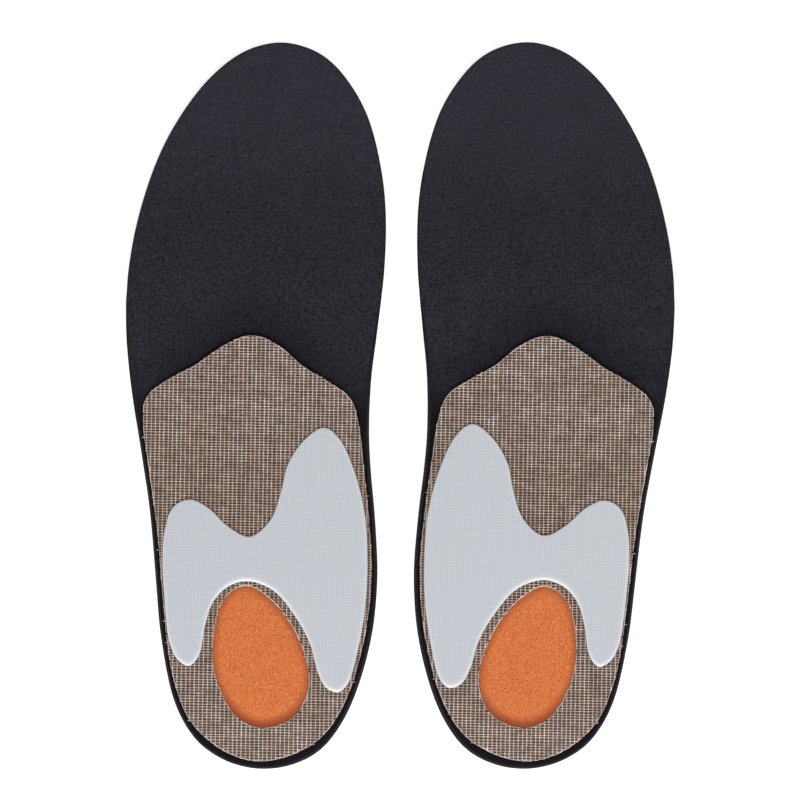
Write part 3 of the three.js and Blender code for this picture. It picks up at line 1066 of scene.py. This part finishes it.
def pad_rings(outline, centre, top, bottom):
    """Rings up the pad's side and in over its crown."""
    drop = part_way(PAD_EDGE_DROP, share_of_heel_end(outline, outline[:, 1], PAD_DROP_TURN))
    rings = [np.column_stack([outline, np.full(len(outline), bottom)])]
    rings.append(np.column_stack([outline, top - drop]))
    for share in PAD_RINGS:
        plan = outline + (centre - outline) * share
        fall = (1 - smooth_step(0, PAD_CROWN_SHARE, share)) ** PAD_CROWN_POWER
        rings.append(np.column_stack([plan, top - drop * fall]))
    return rings


def pad_grain(points, outline, centre):
    """Small random heights over the pad's crown, which fade out at its centre."""
    random = np.random.default_rng(PAD_SEED)
    radius = np.linalg.norm(outline[0] - centre)
    spacing = np.linalg.norm(points[:, :2] - centre, axis=1) / radius
    grain = random.standard_normal(len(points)) * PAD_GRAIN * np.clip(3 * spacing, 0, 1)
    grain[:2 * len(outline)] = 0
    return grain


def pad_edge_shade(points, outline):
    """How much painted shade darkens the pad along its edge, at each point."""
    near_heel = share_of_heel_end(outline, points[:, 1], PAD_SHADE_TURN)
    reach = part_way(PAD_SHADE_REACH, near_heel)
    depth = np.clip(distance_to(points[:, :2], outline) / reach, 0, 1)
    return part_way(PAD_SHADE, near_heel) * np.clip(PAD_SHADE_STEEPNESS * (1 - depth), 0, 1)


def pad_shape(hole):
    """A low granular cushion with a crown, and the painted shade along its edge."""
    outline = even(inset(hole, PAD_CLEARANCE), PAD_STEP)
    centre = outline.mean(axis=0)
    top, bottom = CLOTH_TOP - PAD_RECESS, -PAD_DEPTH
    rings = pad_rings(outline, centre, top, bottom)
    points = np.vstack(rings)
    points[:, 2] += pad_grain(points, outline, centre) + underside_height(points[:, 1])
    # painted shade along the pad's edge
    border = np.concatenate([pad_edge_shade(points, outline), [0, 0]])
    count = len(outline)
    middle, last = len(points), (len(rings) - 1) * count
    faces = []
    for low in range(0, last, count):
        for i in range(count):
            j = (i + 1) % count
            faces.append((low + i, low + j, low + count + j, low + count + i))
    lift = underside_height(centre[1])
    points = np.vstack([points, [*centre, top + lift], [*centre, bottom + lift]])
    faces += [(last + i, last + (i + 1) % count, middle) for i in range(count)]
    faces += [((i + 1) % count, i, middle + 1) for i in range(count)]
    return points, faces, {"edge": border}


def add_pad(side, shape, finish):
    pad = add_layer("pad", side, "heel_pad", shape, finish)


# ---- building the pair ------------------------------------------------------------------------

def read_outlines():
    """The outlines of the insole, its shell, the pad's hole and the plate."""
    insole = smooth_closed(insole_outline(), OUTLINE_STEP)
    shell, hole = (smooth_closed(o, OUTLINE_STEP) for o in top_outlines("left_shell_board"))
    plate_top = smooth_closed(top_outlines("left_stabiliser")[0], PLATE_STEP)
    return insole, shell, hole, inset(plate_top, -CAD_PLATE_CHAMFER)


def build_insoles():
    insole, shell, hole, plate_outline = read_outlines()
    places = stations_round(insole)
    points, faces = cushion_mesh(places, hole)
    cushion = (points, faces, cushion_shades(points, shell, hole))
    cover = (*cover_mesh(places), {})
    board, cloth = board_shape(shell, hole), cloth_shape(shell, hole)
    plate, pad = plate_shape(plate_outline), pad_shape(hole)
    foam, textile = foam_finish(), cover_finish()
    brown, glass = board_finish(), cloth_finish()
    plastic, orange = stabiliser_finish(), pad_finish()
    for side in SIDES:
        add_cushion(side, cushion, foam)
        add_cover(side, cover, textile)
        add_layer("board", side, "shell_board", board, brown, smooth=False)
        add_cloth(side, cloth, glass)
        add_plate(side, plate, plastic)
        add_pad(side, pad, orange)


# ---- floor, light and camera ------------------------------------------------------------------

# in metres; the camera's view is this wide at this level, and is turned by degrees
FLOOR_RADIUS = 7.0
FLOOR_BEND = 0.6
FLOOR_BEND_RINGS = 9
FLOOR_WALL_HEIGHT = 1.0
FLOOR_SIDES = 96
FLOOR_DROP = 0.0002
FRAME_WIDTH = 0.2964
FRAME_LEVEL = 0.009
CAMERA_LENS = 400
CAMERA_TURN = 1.0
CAMERA_OFFSET = (0.0005, 0.0021)


def floor_finish():
    material, _, shader = new_material("floor")
    shader.inputs["Base Color"].default_value = (0.9, 0.9, 0.9, 1)
    shader.inputs["Roughness"].default_value = 0.9
    shader.inputs["Emission Color"].default_value = (1, 1, 1, 1)
    shader.inputs["Emission Strength"].default_value = 0.6
    return material


def add_floor():
    """A round floor that curves up into a low wall, far off."""
    turns = np.linspace(0, math.pi / 2, FLOOR_BEND_RINGS)
    radii = [*(FLOOR_RADIUS + FLOOR_BEND * np.sin(turns)), FLOOR_RADIUS + FLOOR_BEND]
    heights = [*(FLOOR_BEND * (1 - np.cos(turns))), FLOOR_WALL_HEIGHT]
    angles = np.linspace(0, 2 * math.pi, FLOOR_SIDES, endpoint=False)
    points = [(r * math.cos(a), r * math.sin(a), z) for r, z in zip(radii, heights) for a in angles]
    faces = [tuple(range(FLOOR_SIDES))]
    for r in range(len(radii) - 1):
        faces += ring_faces(r * FLOOR_SIDES, (r + 1) * FLOOR_SIDES, FLOOR_SIDES)
    mesh = bpy.data.meshes.new("floor")
    mesh.from_pydata(points, [], faces)
    mesh.polygons.foreach_set("use_smooth", [True] * len(mesh.polygons))
    mesh.materials.append(floor_finish())
    floor = bpy.data.objects.new("floor", mesh)
    floor.location.z = -FLOOR_DROP
    bpy.context.scene.collection.objects.link(floor)


def add_light(name, place, size, power):
    data = bpy.data.lights.new(name, "AREA")
    data.shape = "DISK"
    data.size = size
    data.energy = power
    light = bpy.data.objects.new(name, data)
    light.location = place
    light.rotation_euler = (-Vector(place)).to_track_quat("-Z", "Y").to_euler()
    bpy.context.scene.collection.objects.link(light)


def add_lights():
    add_light("key", place=(-0.15, -1.25, 1.35), size=0.7, power=19)
    add_light("fill", place=(0.5, 1.1, 1.5), size=1.4, power=5)
    add_light("overhead", place=(0.9, 0, 2.2), size=1.2, power=8)
    world = bpy.data.worlds.new("studio")
    world.use_nodes = True
    background = world.node_tree.nodes["Background"]
    background.inputs["Color"].default_value = (0.95, 0.97, 1, 1)
    background.inputs["Strength"].default_value = 0.3
    bpy.context.scene.world = world


def add_camera():
    data = bpy.data.cameras.new("camera")
    data.lens = CAMERA_LENS
    data.clip_end = 4 * FLOOR_RADIUS
    distance = FRAME_WIDTH * data.lens / data.sensor_width
    camera = bpy.data.objects.new("camera", data)
    camera.location = (*CAMERA_OFFSET, FRAME_LEVEL + distance)
    camera.rotation_euler = (0, 0, math.radians(CAMERA_TURN))
    bpy.context.scene.collection.objects.link(camera)
    bpy.context.scene.camera = camera
    bpy.context.scene.view_settings.view_transform = "Standard"


build_insoles()
add_floor()
add_lights()
add_camera()
